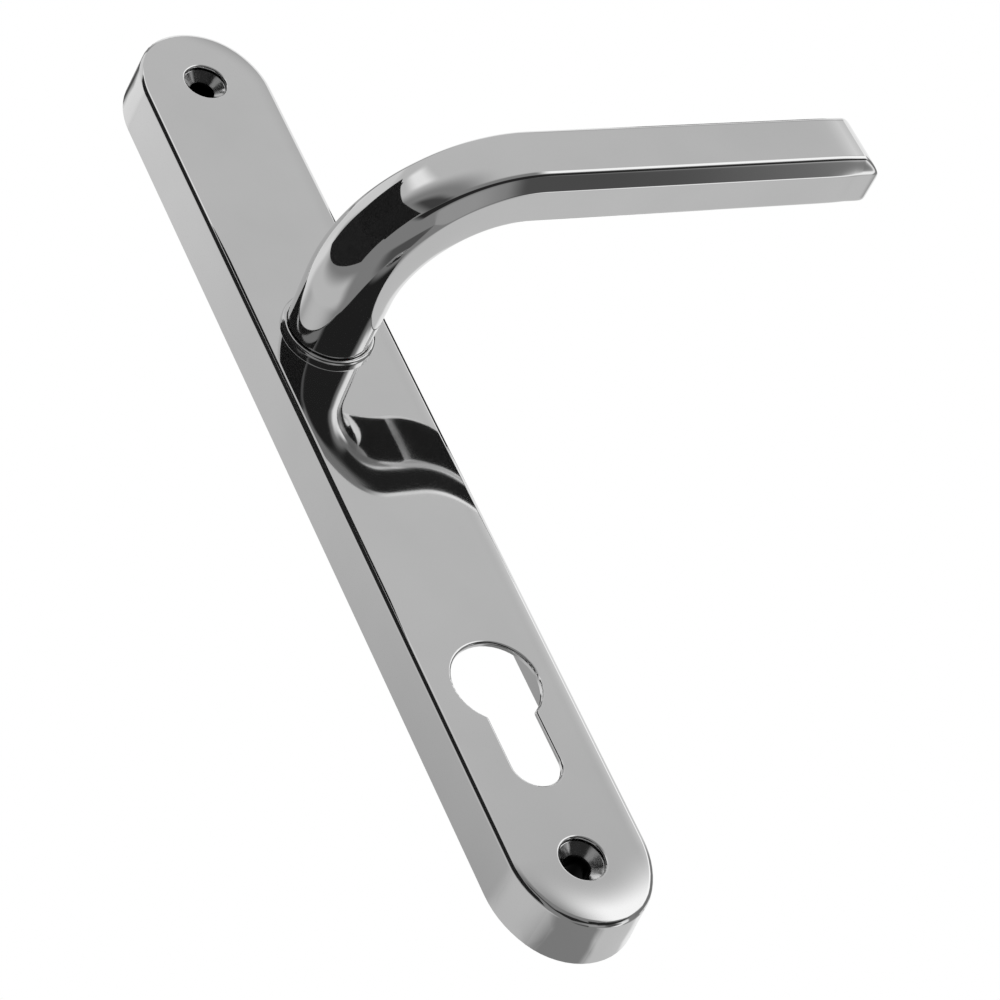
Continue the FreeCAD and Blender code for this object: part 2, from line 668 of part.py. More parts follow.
def make_insert(name, level, direction):
    """A moulded insert that fills one end of the cover and holds a fixing pillar."""
    body = new_body(name)
    grow = "( 0 - wall - insert_gap )"
    sketch = sketch_at(body, "outline")
    tangent = "top_straight" if direction == 1 else "0 - bottom_straight"
    inner = f"{level} - {direction} * insert_reach"
    first, last = end_arcs(sketch, grow, tangent, direction)
    half = value_of(f"plate_half_width + {grow}")
    high = value_of(tangent)
    low = value_of(inner)
    side = direction * half
    corners = [(-side, high), (-side, low), (side, low), (side, high)]
    points = [FreeCAD.Vector(x, z, 0) for x, z in corners]
    down, across, up = [
        sketch.addGeometry(Part.LineSegment(points[i], points[i + 1])) for i in range(3)
    ]
    sketch.addConstraint(Sketcher.Constraint("Tangent", last, 2, down, 1))
    sketch.addConstraint(Sketcher.Constraint("Coincident", down, 2, across, 1))
    sketch.addConstraint(Sketcher.Constraint("Coincident", across, 2, up, 1))
    sketch.addConstraint(Sketcher.Constraint("Tangent", up, 2, first, 1))
    sketch.addConstraint(Sketcher.Constraint("Horizontal", across))
    dimension(sketch, "DistanceY", (-1, 1, across, 1), inner)
    right, left = (up, down) if direction == 1 else (down, up)
    dimension(sketch, "DistanceX", (-1, 1, right, 1), f"plate_half_width + {grow}")
    dimension(sketch, "DistanceX", (left, 1, -1, 1), f"plate_half_width + {grow}")
    pad(body, sketch, "plate_depth - skin - insert_gap")
    bore = sketch_at(body, "pillar_bore")
    add_circle(bore, "pillar_radius", "0", level)
    cut(body, bore, "plate_depth")
    return body


def make_screws():
    """The four countersunk screws that hold the cassette together, as one group."""
    head = size("cassette_head")
    shank = size("cassette_screw")
    back = -size("cassette_lift")
    length = value_of(f"{FLANGE_BACK} + collar_flange - cassette_lift") - size("axial_gap")
    front = FreeCAD.Vector(0, -1, 0)
    slot_length = 2.6
    slot_width = 0.6
    slot_depth = 0.7
    screws = []
    for x in (-size("cassette_screw_x"), size("cassette_screw_x")):
        for z in (-size("cassette_screw_z"), size("cassette_screw_z")):
            place = FreeCAD.Vector(x, back, z)
            cone = Part.makeCone(head, shank, head - shank, place, front)
            post = Part.makeCylinder(shank, length, place, front)
            screw = cone.fuse(post).removeSplitter()
            for wide, tall in ((slot_length, slot_width), (slot_width, slot_length)):
                corner = FreeCAD.Vector(x - wide / 2, back - slot_depth, z - tall / 2)
                screw = screw.cut(Part.makeBox(wide, slot_depth, tall, corner))
            screws.append(screw)
    group = doc.addObject("Part::Feature", "cassette_screws")
    group.Label = "cassette_screws"
    group.Shape = Part.makeCompound(screws)
    return group


# ---------------------------------------------------------------- the lever

SAMPLES = 5


def grip_corners():
    """The grip's section: eight sides, each a function of the share along it.

    Points are (out, across): out points to the outside of the bend, which becomes the
    grip's front, and across is +Z.
    """
    front = (size("bar_front") - size("bar_back")) / 2
    face = size("bar_face_half")
    tall = size("bar_half_height")
    shoulder = front - size("bar_chamfer")
    corner = size("bar_corner")

    def straight(start, end):
        return lambda share: tuple(a + share * (b - a) for a, b in zip(start, end))

    def quarter(centre, start_angle):
        def point(share):
            angle = math.radians(start_angle + 90 * share)
            return centre[0] + corner * math.cos(angle), centre[1] + corner * math.sin(angle)
        return point

    heel = corner - front
    return [
        straight((front, -face), (front, face)),
        straight((front, face), (shoulder, tall)),
        straight((shoulder, tall), (heel, tall)),
        quarter((heel, tall - corner), 90),
        straight((-front, tall - corner), (-front, corner - tall)),
        quarter((heel, corner - tall), 180),
        straight((heel, -tall), (shoulder, -tall)),
        straight((shoulder, -tall), (front, -face)),
    ]


# Where the grip's eight sides begin and end round the neck, in degrees from the outside
SIDE_ANGLES = [-42, 42, 70, 112, 142, 218, 248, 290, 318]


def side_points(side, blend, radius):
    """Sample one of the eight sides of a section, from round (blend 0) to the grip (1)."""
    start, end = SIDE_ANGLES[side:side + 2]
    wanted = grip_corners()[side]
    points = []
    for step in range(SAMPLES):
        share = step / (SAMPLES - 1)
        angle = math.radians(start + share * (end - start))
        out, across = radius * math.cos(angle), radius * math.sin(angle)
        grip_out, grip_across = wanted(share)
        points.append((out + blend * (grip_out - out), across + blend * (grip_across - across)))
    return points


def smooth(share):
    """Ease from 0 to 1 with no corner at either end."""
    share = min(max(share, 0.0), 1.0)
    return share * share * (3 - 2 * share)


def lever_stations():
    """Centre, outward direction, blend and neck radius along the lever's centre line."""
    bend = size("bend_radius")
    middle = value_of(BAR_MIDDLE)
    start = middle - bend
    base = value_of(NECK_END)
    neck = size("neck_radius")
    swell = size("neck_swell")
    straight = size("lever_length") + 2 - bend
    stations = []
    for share in (0.0, 0.33, 0.67):
        centre = FreeCAD.Vector(0, -base - share * (start - base), 0)
        stations.append((centre, FreeCAD.Vector(-1, 0, 0), 0.0, neck + swell * share))
    for angle in range(0, 91, 6):
        turn = math.radians(angle)
        centre = FreeCAD.Vector(bend * (1 - math.cos(turn)), -start - bend * math.sin(turn), 0)
        out = FreeCAD.Vector(-math.cos(turn), -math.sin(turn), 0)
        blend = smooth((angle - size("blend_start")) / (90 - size("blend_start")))
        stations.append((centre, out, blend, neck + swell))
    for step in range(1, 11):
        centre = FreeCAD.Vector(bend + straight * step / 10, -middle, 0)
        stations.append((centre, FreeCAD.Vector(0, -1, 0), 1.0, neck + swell))
    return stations


def through(points, parameters):
    """A curve through points at given parameters."""
    curve = Part.BSplineCurve()
    curve.interpolate(Points=points, Parameters=parameters)
    return curve


def strip_face(rows, along, round_section):
    """A smooth face through rows of points: one row for each sample of a section's side."""
    rails = [through(row, along) for row in rows]
    ribs = [
        through([rail.getPole(k + 1) for rail in rails], round_section)
        for k in range(rails[0].NbPoles)
    ]
    poles = [[rib.getPole(j + 1) for rib in ribs] for j in range(ribs[0].NbPoles)]
    surface = Part.BSplineSurface()
    surface.buildFromPolesMultsKnots(
        poles, ribs[0].getMultiplicities(), rails[0].getMultiplicities(),
        ribs[0].getKnots(), rails[0].getKnots(), False, False,
        ribs[0].Degree, rails[0].Degree,
    )
    return surface.toShape()


def lever_form():
    """Build the neck, the bend and the grip through sections along the centre line."""
    stations = lever_stations()
    along = [0.0]
    for here, there in zip(stations, stations[1:]):
        along.append(along[-1] + (there[0] - here[0]).Length)
    along = [value / along[-1] for value in along]
    round_section = [step / (SAMPLES - 1) for step in range(SAMPLES)]
    up = FreeCAD.Vector(0, 0, 1)
    faces = []
    for side in range(len(SIDE_ANGLES) - 1):
        rows = [[] for _ in range(SAMPLES)]
        for centre, out, blend, radius in stations:
            for row, (a, b) in zip(rows, side_points(side, blend, radius)):
                row.append(centre + out * a + up * b)
        faces.append(strip_face(rows, along, round_section))
    for end in (0, 1):
        edges = []
        for face in faces:
            length = stations[0][0].y if end == 0 else size("lever_length") + 2
            edges += [
                edge for edge in face.Edges
                if end == 0 and edge.BoundBox.YMin > length - 1e-4
                or end == 1 and edge.BoundBox.XMin > length - 1e-4
            ]
        end_face = Part.Face(Part.Wire(Part.__sortEdges__(edges)))
        faces.append(end_face)
    shell = Part.makeShell(faces)
    shell.sewShape()
    solid = Part.makeSolid(shell)
    if solid.Volume < 0:
        solid.reverse()
    form = doc.addObject("Part::Feature", "lever_form")
    form.Shape = solid
    return form


def make_lever():
    """The lever: neck, bend and grip, with a spigot and a square socket for the spindle."""
    form = lever_form()
    body = new_body("lever")
    body.BaseFeature = form
    doc.recompute()

    spigot_back = "( cassette_lift + axial_gap )"
    spigot = sketch_at(body, "spigot", spigot_back)
    add_circle(spigot, "spigot_radius")
    pad(body, spigot, f"{NECK_END} - {spigot_back} + 1")

    # The tip, seen from above: round from the front face to the end, then a back corner.
    tip = sketch_at(body, "tip", "0", "XY_Plane")
    length = size("lever_length")
    radius = size("tip_radius")
    front = size("bar_front")
    back = size("bar_back")
    corner = size("tip_back_corner")
    margin = 2
    breach = size("tip_back_break")
    # The nose arc stands back from the end by its radius and meets the front face at a
    # slant, so the front face keeps a crisp end.
    rise = radius - size("tip_front_rise")
    lean = math.degrees(math.asin(rise / radius))
    meet = length - radius + radius * math.cos(math.radians(lean))
    nose = add_arc(tip, (length - radius, -front + rise), radius, -lean, 0)
    heel = add_arc(tip, (length - corner, breach - back - corner), corner, 0, 90)
    points = [
        FreeCAD.Vector(length, -front + rise, 0),
        FreeCAD.Vector(length, breach - back - corner, 0),
        FreeCAD.Vector(length - corner, breach - back, 0),
        FreeCAD.Vector(length - corner, -back + margin, 0),
        FreeCAD.Vector(length + margin * 2, -back + margin, 0),
        FreeCAD.Vector(length + margin * 2, -front - margin, 0),
        FreeCAD.Vector(meet, -front - margin, 0),
        FreeCAD.Vector(meet, -front, 0),
    ]
    end = tip.addGeometry(Part.LineSegment(points[0], points[1]))
    chain = [tip.addGeometry(Part.LineSegment(points[i], points[i + 1])) for i in range(2, 7)]
    tip.addConstraint(Sketcher.Constraint("Tangent", nose, 2, end, 1))
    tip.addConstraint(Sketcher.Constraint("Tangent", end, 2, heel, 1))
    tip.addConstraint(Sketcher.Constraint("Coincident", heel, 2, chain[0], 1))
    for before, after in zip(chain, chain[1:]):
        tip.addConstraint(Sketcher.Constraint("Coincident", before, 2, after, 1))
    tip.addConstraint(Sketcher.Constraint("Coincident", chain[-1], 2, nose, 1))
    for line in (end, chain[0], chain[2], chain[4]):
        tip.addConstraint(Sketcher.Constraint("Vertical", line))
    for line in (chain[1], chain[3]):
        tip.addConstraint(Sketcher.Constraint("Horizontal", line))
    dimension(tip, "Radius", (nose,), "tip_radius")
    dimension(tip, "Radius", (heel,), "tip_back_corner")
    dimension(tip, "DistanceX", (-1, 1, end, 1), "lever_length")
    dimension(tip, "DistanceY", (end, 1, -1, 1), "bar_front - tip_radius + tip_front_rise")
    dimension(tip, "DistanceY", (nose, 1, -1, 1), "bar_front")
    dimension(tip, "DistanceX", (-1, 1, heel, 2), "lever_length - tip_back_corner")
    dimension(tip, "DistanceY", (heel, 2, -1, 1), "bar_back - tip_back_break")
    dimension(tip, "DistanceX", (-1, 1, chain[1], 2), f"lever_length + {2 * margin}")
    dimension(tip, "DistanceY", (chain[1], 2, -1, 1), f"bar_back - {margin}")
    dimension(tip, "DistanceY", (chain[3], 1, -1, 1), f"bar_front + {margin}")
    cut(body, tip, "4 * bar_half_height", both_ways=True)

    socket = sketch_at(body, "spindle_socket")
    add_rectangle(socket, "0 - spindle_square", "spindle_square", "0 - spindle_square", "spindle_square")
    cut(body, socket, f"{spigot_back} + spindle_depth")

    for side in ("0 -", "0 +"):
        flat = sketch_at(body, "flat_left" if side == "0 -" else "flat_right")
        inner = f"{side} spigot_flat"
        outer = f"{side} ( spigot_radius + 1 )"
        low, high = (outer, inner) if side == "0 -" else (inner, outer)
        add_rectangle(flat, low, high, "0 - spigot_radius - 1", "spigot_radius + 1")
        cut(body, flat, CLIP_BACK)

    groove = sketch_at(body, "clip_groove", "0", "XY_Plane")
    add_rectangle(groove, "groove_radius", "spigot_radius + 1",
                  f"0 - {CLIP_BACK} - clip_thickness - axial_gap / 2", f"axial_gap / 2 - {CLIP_BACK}")
    revolve(body, groove, groove=True)
    return body


# ---------------------------------------------------------------- build everything

def check_document():
    """Stop if any object of the document failed."""
    for item in doc.Objects:
        if "Invalid" in item.State or "Error" in item.State:
            raise RuntimeError(f"{item.Label} failed: {item.State}")


def write_parts(pieces):
    """Write each piece to parts/LABEL.step, after checking its shape."""
    os.makedirs("parts", exist_ok=True)
    for piece in pieces:
        shape = piece.Shape
        if shape.isNull() or not shape.isValid():
            raise RuntimeError(f"{piece.Label} has no valid shape")
        shape.exportStep(f"parts/{piece.Label}.step")
        box = shape.BoundBox
        print(f"{piece.Label:20s} solids {len(shape.Solids)} volume {shape.Volume:9.1f} "
              f"x {box.XMin:7.2f} {box.XMax:7.2f} y {box.YMin:7.2f} {box.YMax:7.2f} "
              f"z {box.ZMin:8.2f} {box.ZMax:8.2f}")


pieces = [
    make_cover(),
    make_collar(),
    make_bush(),
    ring("thrust_washer", SPIGOT_BORE, "thrust_washer_radius", WASHER_BACK, "thrust_washer_thickness"),
    make_spring_washer(),
    make_clip(),
    make_driver(),
    make_pin("drive_pin", "drive_pin_radius", f"( {DRIVER_BACK} + driver_thickness )"),
    make_pin("anchor_pin", "anchor_pin_radius", f"( {FLANGE_BACK} + collar_flange )"),
    make_spring(),
    make_frame(),
    make_lid(),
    make_screws(),
    make_lever(),
]
for end, (level, direction) in FIXINGS.items():
    pieces.append(make_pillar(f"fixing_pillar_{end}", level))
    pieces.append(make_insert(f"end_insert_{end}", level, direction))
doc.recompute()
check_document()
write_parts(pieces)
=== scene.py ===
# %% [markdown]
# # A sprung lever handle on a long backplate
# The frame is the imported CAD model: upright plate, +Z up, front towards -Y, the door
# behind it at y = 0, and the lever's grip along +X. Every length below is in metres
# unless its name says millimetres.

import math

import bmesh
import bpy
import numpy as np
from mathutils import Matrix, Vector


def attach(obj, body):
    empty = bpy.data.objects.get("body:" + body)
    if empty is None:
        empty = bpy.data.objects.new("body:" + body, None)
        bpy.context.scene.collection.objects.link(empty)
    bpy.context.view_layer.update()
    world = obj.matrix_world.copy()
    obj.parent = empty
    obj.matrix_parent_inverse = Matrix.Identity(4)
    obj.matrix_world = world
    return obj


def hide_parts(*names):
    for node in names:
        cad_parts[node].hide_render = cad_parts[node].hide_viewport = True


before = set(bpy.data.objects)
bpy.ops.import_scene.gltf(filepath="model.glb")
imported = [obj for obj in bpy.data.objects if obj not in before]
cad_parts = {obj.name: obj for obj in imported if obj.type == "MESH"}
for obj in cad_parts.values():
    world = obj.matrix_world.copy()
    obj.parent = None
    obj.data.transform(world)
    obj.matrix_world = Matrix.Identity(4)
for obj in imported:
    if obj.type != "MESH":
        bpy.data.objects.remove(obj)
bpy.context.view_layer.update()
MM = 0.001

# %% [markdown]
# ## Colours and nodes
# Finishes are described as sRGB hex values, as a paint chart gives them, and turned to
# the linear values that the renderer works in. One helper adds a node, sets its
# settings and links what feeds it, and a second one adds maths.

# %% Colour and node helpers


def linear(hex_colour):
    """sRGB hex to linear RGBA."""
    parts = [int(hex_colour[i:i + 2], 16) / 255 for i in (0, 2, 4)]
    return tuple(p / 12.92 if p <= 0.04045 else ((p + 0.055) / 1.055) ** 2.4
                 for p in parts) + (1.0,)


def add_node(tree, kind, settings=None, inputs=None, links=None):
    """Add a node: settings are properties, inputs socket values, links what feeds it."""
    node = tree.nodes.new(kind)
    for name, value in (settings or {}).items():
        setattr(node, name, value)
    for name, value in (inputs or {}).items():
        node.inputs[name].default_value = value
    for name, source in (links or {}).items():
        tree.links.new(source, node.inputs[name])
    return node


def new_material(name):
    """An empty node material with its Principled shader joined to the output."""
    material = bpy.data.materials.new(name)
    material.use_nodes = True
    tree = material.node_tree
    tree.nodes.clear()
    shader = add_node(tree, "ShaderNodeBsdfPrincipled")
    add_node(tree, "ShaderNodeOutputMaterial", links={"Surface": shader.outputs["BSDF"]})
    return material, tree, shader


def ramp(tree, factor, stops):
    """A colour ramp from a factor: stops are (position, hex colour)."""
    node = add_node(tree, "ShaderNodeValToRGB", links={"Fac": factor})
    elements = node.color_ramp.elements
    while len(elements) < len(stops):
        elements.new(0.5)
    for element, (position, colour) in zip(elements, stops):
        element.position = position
        element.color = linear(colour)
    return node.outputs["Color"]


def maths(tree, operation, *values):
    """A maths node in a tree; a value is a number or another node's output."""
    node = add_node(tree, "ShaderNodeMath", {"operation": operation})
    for socket, value in zip(node.inputs, values):
        if isinstance(value, (int, float)):
            socket.default_value = value
        else:
            tree.links.new(value, socket)
    return node.outputs["Value"]


def principled(material):
    """A material's Principled shader."""
    return next(n for n in material.node_tree.nodes if n.type == "BSDF_PRINCIPLED")


print("white is", linear("ffffff"), "and mid grey is", linear("808080"))

# %% [markdown]
# ## Bright chrome plate
# The cover, the lever and the collar are polished, then plated with nickel and chrome.
# That gives the eye an almost perfect mirror with a cool grey tint. What makes it real
# is what polishing leaves: a waviness 9 to 26 mm long and a few micrometres deep that
# bends straight reflections, faint buffing lines, and small patches where the buff left
# the surface a little duller. Each is a noise in object coordinates, in real size.

# %% Bright chrome plate
ALONG_X, ALONG_Z = 0, 2
BUFF_LINE_WIDE, BUFF_LINE_LONG, BUFF_LINE_DEEP = 0.25, 9, 0.001
DULL_PATCH = 22


def chrome_plate(name, tint, wave_mm, wave_depth_mm, buff_axis, haze=0.03, duller=0.06):
    """Mirror chrome with polishing waves, buffing lines along an axis and dull patches."""
    material, tree, shader = new_material(name)
    place = add_node(tree, "ShaderNodeTexCoord").outputs["Object"]
    waves = add_node(tree, "ShaderNodeTexNoise", inputs={
        "Scale": 1 / (wave_mm * MM), "Detail": 0.0, "Roughness": 0.4}, links={"Vector": place})
    stretch = [1 / (BUFF_LINE_WIDE * MM)] * 3
    stretch[buff_axis] = 1 / (BUFF_LINE_LONG * MM)
    along = add_node(tree, "ShaderNodeMapping", inputs={"Scale": stretch}, links={"Vector": place})
    lines = add_node(tree, "ShaderNodeTexNoise", inputs={
        "Scale": 1.0, "Detail": 2.0}, links={"Vector": along.outputs["Vector"]})
    patches = add_node(tree, "ShaderNodeTexNoise", inputs={
        "Scale": 1 / (DULL_PATCH * MM), "Detail": 3.0}, links={"Vector": place})
    gloss = add_node(tree, "ShaderNodeMapRange", inputs={
        "From Min": 0.35, "From Max": 0.75, "To Min": haze, "To Max": duller},
        links={"Value": patches.outputs["Fac"]})
    deep = add_node(tree, "ShaderNodeBump", inputs={
        "Strength": 1.0, "Distance": wave_depth_mm * MM}, links={"Height": waves.outputs["Fac"]})
    fine = add_node(tree, "ShaderNodeBump", inputs={
        "Strength": 0.1, "Distance": BUFF_LINE_DEEP * MM},
        links={"Height": lines.outputs["Fac"], "Normal": deep.outputs["Normal"]})
    shader.inputs["Metallic"].default_value = 1.0
    colour = ramp(tree, patches.outputs["Fac"], [(0.3, tint), (0.8, "e4e4e4")])
    tree.links.new(colour, shader.inputs["Base Color"])
    tree.links.new(gloss.outputs["Result"], shader.inputs["Roughness"])
    tree.links.new(fine.outputs["Normal"], shader.inputs["Normal"])
    return material


cover_chrome = chrome_plate("bright_chrome_on_pressed_steel", "dedede", 26, 0.010, ALONG_Z)
lever_chrome = chrome_plate("bright_chrome_on_cast_zinc", "dedede", 18, 0.006, ALONG_X)
collar_chrome = chrome_plate("bright_chrome_on_collar", "d8d8d8", 9, 0.002, ALONG_X,
                             haze=0.05, duller=0.09)
print("chrome plate made for", cover_chrome.name, lever_chrome.name, collar_chrome.name)

# %% [markdown]
# ### Rolled-off edges of the cover
# A buffing wheel takes more off towards the edges, so the cover's face is flat only in
# the middle and rolls off outwards. The drop is a third of a millimetre at most: too
# little to see as shape, but enough to bend every reflection near the edge. It is a
# height in the shader, made from the distance to the plate's spine, so that it follows
# the round ends too.

# %% Roll the cover's face off, in millimetres
FLAT_WITHIN = 3.5
FACE_HALF_WIDTH = 14
ROLL_OFF = 0.0003
SPINE_TOP = 72.3
SPINE_BOTTOM = -132.8


def roll_off(material):
    """Lower the height by ROLL_OFF times the cube of the way past FLAT_WITHIN, in mm."""
    tree = material.node_tree
    place = add_node(tree, "ShaderNodeTexCoord").outputs["Object"]
    axes = add_node(tree, "ShaderNodeSeparateXYZ", links={"Vector": place})
    x, z = axes.outputs["X"], axes.outputs["Z"]
    above = maths(tree, "MAXIMUM", maths(tree, "SUBTRACT", z, SPINE_TOP * MM), 0.0)
    below = maths(tree, "MAXIMUM", maths(tree, "SUBTRACT", SPINE_BOTTOM * MM, z), 0.0)
    rise = maths(tree, "ADD", above, below)
    squares = [maths(tree, "MULTIPLY", side, side) for side in (x, rise)]
    across = maths(tree, "SQRT", maths(tree, "ADD", *squares))
    past = maths(tree, "MAXIMUM", maths(tree, "SUBTRACT", across, FLAT_WITHIN * MM), 0.0)
    drop = maths(tree, "MULTIPLY", maths(tree, "POWER", past, 3.0), -ROLL_OFF / MM ** 2)
    shader = principled(material)
    waves = shader.inputs["Normal"].links[0].from_socket
    rolled = add_node(tree, "ShaderNodeBump", inputs={"Strength": 1.0, "Distance": 1.0},
                      links={"Height": drop, "Normal": waves})
    tree.links.new(rolled.outputs["Normal"], shader.inputs["Normal"])


roll_off(cover_chrome)
drop_at_edge = ROLL_OFF * (FACE_HALF_WIDTH - FLAT_WITHIN) ** 3
print("the face drops", round(drop_at_edge, 2), "mm near its edge")

# %% [markdown]
# ## The hidden metals
# Cast zinc is left as it comes from the die: matt, with a fine grain. Turned and
# pressed steel parts are bright zinc plated. Springs and clips are blued and oiled. All
# of them vary a little in colour over some 18 mm, and in gloss with their grain.

# %% Cast zinc, plated steel and spring steel
STAIN = 18


def bare_metal(name, dark, light, grain_mm, depth_mm, roughness):
    """A metal whose colour and gloss vary with a grain of a real size."""
    material, tree, shader = new_material(name)
    place = add_node(tree, "ShaderNodeTexCoord").outputs["Object"]
    grain = add_node(tree, "ShaderNodeTexNoise", inputs={
        "Scale": 1 / (grain_mm * MM), "Detail": 4.0, "Roughness": 0.6}, links={"Vector": place})
    stain = add_node(tree, "ShaderNodeTexNoise", inputs={
        "Scale": 1 / (STAIN * MM), "Detail": 2.0}, links={"Vector": place})
    shade = ramp(tree, stain.outputs["Fac"], [(0.3, dark), (0.7, light)])
    gloss = add_node(tree, "ShaderNodeMapRange", inputs={
        "To Min": roughness - 0.08, "To Max": roughness + 0.1},
        links={"Value": grain.outputs["Fac"]})
    relief = add_node(tree, "ShaderNodeBump", inputs={
        "Strength": 0.6, "Distance": depth_mm * MM}, links={"Height": grain.outputs["Fac"]})
    shader.inputs["Metallic"].default_value = 1.0
    tree.links.new(shade, shader.inputs["Base Color"])
    tree.links.new(gloss.outputs["Result"], shader.inputs["Roughness"])
    tree.links.new(relief.outputs["Normal"], shader.inputs["Normal"])
    return material


cast_zinc = bare_metal("as_cast_zinc", "8a8c8f", "a3a5a8", 0.8, 0.02, 0.48)
plated_steel = bare_metal("bright_zinc_plated_steel", "a9adb0", "c3c7c9", 0.35, 0.006, 0.28)
pillar_steel_and_bore_shade = bare_metal("plated_turned_steel_with_painted_bore_shade", "e2e2e2", "f2f2f2", 0.5, 0.006, 0.14)
blued_steel = bare_metal("oiled_blued_spring_steel", "35373c", "4a4d52", 0.4, 0.004, 0.32)


# Depths in mm over which painted shade comes into the pillars' bores, going to near black towards
# the door.
BORE_BRIGHT_FROM, BORE_DARK_FROM = 9.2, 8.2


def paint_shade_in_bore(material):
    """Paint shade into a metal's colour behind a depth in front of the door, so that a bore looks
    dark.
    """
    tree = material.node_tree
    place = add_node(tree, "ShaderNodeTexCoord").outputs["Object"]
    axes = add_node(tree, "ShaderNodeSeparateXYZ", links={"Vector": place})
    # Painted shade: the deeper into the bore, the nearer the colour goes to black.
    inside = add_node(tree, "ShaderNodeMapRange", inputs={
        "From Min": -BORE_BRIGHT_FROM * MM, "From Max": -BORE_DARK_FROM * MM},
        links={"Value": axes.outputs["Y"]})
    shader = principled(material)
    bright = shader.inputs["Base Color"].links[0].from_socket
    mix = add_node(tree, "ShaderNodeMix", {"data_type": "RGBA"}, {"B": linear("0c0c0c")},
                   {"Factor": inside.outputs["Result"], "A": bright})
    tree.links.new(mix.outputs["Result"], shader.inputs["Base Color"])


# The pillars get painted shade in their bores.
paint_shade_in_bore(pillar_steel_and_bore_shade)
hidden_metals = (cast_zinc, plated_steel, pillar_steel_and_bore_shade, blued_steel)
print("hidden metals:", [m.name for m in hidden_metals])

# %% [markdown]
# ## The plastics
# The end inserts are moulded in black glass-filled nylon: low gloss with a fine
# mottle where the fibres lie near the skin. The bush and the thrust washer are natural
# acetal, off-white and waxy, which lets a little light in.

# %% Moulded nylon and acetal
SKIN_CELL = 0.45
PLASTIC_IOR = 1.49
LIGHT_GOES_IN = 1.5


def moulded_plastic(name, dark, light, mottle_mm, depth_mm, roughness, inside):
    """A moulded plastic: colour mottle, soft gloss and a fine skin texture."""
    material, tree, shader = new_material(name)
    place = add_node(tree, "ShaderNodeTexCoord").outputs["Object"]
    mottle = add_node(tree, "ShaderNodeTexNoise", inputs={
        "Scale": 1 / (mottle_mm * MM), "Detail": 3.0}, links={"Vector": place})
    skin = add_node(tree, "ShaderNodeTexVoronoi", inputs={
        "Scale": 1 / (SKIN_CELL * MM)}, links={"Vector": place})
    shade = ramp(tree, mottle.outputs["Fac"], [(0.35, dark), (0.65, light)])
    relief = add_node(tree, "ShaderNodeBump", inputs={
        "Strength": 0.5, "Distance": depth_mm * MM}, links={"Height": skin.outputs["Distance"]})
    gloss = add_node(tree, "ShaderNodeMapRange", inputs={
        "To Min": roughness - 0.06, "To Max": roughness + 0.08},
        links={"Value": mottle.outputs["Fac"]})
    shader.inputs["IOR"].default_value = PLASTIC_IOR
    shader.inputs["Subsurface Weight"].default_value = inside
    shader.inputs["Subsurface Scale"].default_value = LIGHT_GOES_IN * MM
    tree.links.new(shade, shader.inputs["Base Color"])
    tree.links.new(gloss.outputs["Result"], shader.inputs["Roughness"])
    tree.links.new(relief.outputs["Normal"], shader.inputs["Normal"])
    return material


black_nylon = moulded_plastic("black_glass_filled_nylon", "161617", "222224", 1.6, 0.012, 0.5, 0.0)
natural_acetal = moulded_plastic("natural_acetal", "d8d2c2", "e6e1d4", 3.0, 0.004, 0.36, 0.15)
print("plastics:", black_nylon.name, natural_acetal.name)

# %% [markdown]
# ## Dress the CAD pieces
# Most pieces keep their CAD mesh, which is exact. A modifier could weigh the normals by
# face area, but its threshold is too coarse for a piece this small, so the normals are
# worked out here: on a mirror, a normal that is a little off shows at once.

# %% Finish every CAD node
FINISHES = {
    "cover_plate": cover_chrome,
    "bearing_collar": collar_chrome,
    "fixing_pillar_top": pillar_steel_and_bore_shade,
    "fixing_pillar_bottom": pillar_steel_and_bore_shade,
    "end_insert_top": black_nylon,
    "end_insert_bottom": black_nylon,
    "neck_bush": natural_acetal,
    "thrust_washer": natural_acetal,
    "spring_frame": cast_zinc,
    "driver_plate": plated_steel,
    "cassette_lid": plated_steel,
    "cassette_screws": plated_steel,
    "drive_pin": plated_steel,
    "anchor_pin": plated_steel,
    "spring_washer": blued_steel,
    "retaining_clip": blued_steel,
    "return_spring": blued_steel,
    "lever": lever_chrome,
}
SMOOTH_WITHIN = math.radians(28)


def mesh_piece(name, points, faces):
    """A new object from points in metres and faces."""
    mesh = bpy.data.meshes.new(name)
    mesh.from_pydata(points, [], faces)
    piece = bpy.data.objects.new(name, mesh)
    bpy.context.scene.collection.objects.link(piece)
    return piece


def set_finish(piece, material):
    """Give a piece one material all over."""
    piece.data.materials.clear()
    piece.data.materials.append(material)


def shade_smooth(piece):
    """Shade smooth but for edges sharper than SMOOTH_WITHIN."""
    piece.data.polygons.foreach_set("use_smooth", [True] * len(piece.data.polygons))
    piece.data.set_sharp_from_angle(angle=SMOOTH_WITHIN)


for node_name, finish in FINISHES.items():
    set_finish(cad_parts[node_name], finish)
print("finished", len(FINISHES), "CAD nodes")

# %% Give the CAD nodes their true normals
NORMAL_STEPS = 2000
PLANE_APART, SPOT_APART = 0.002, 0.001


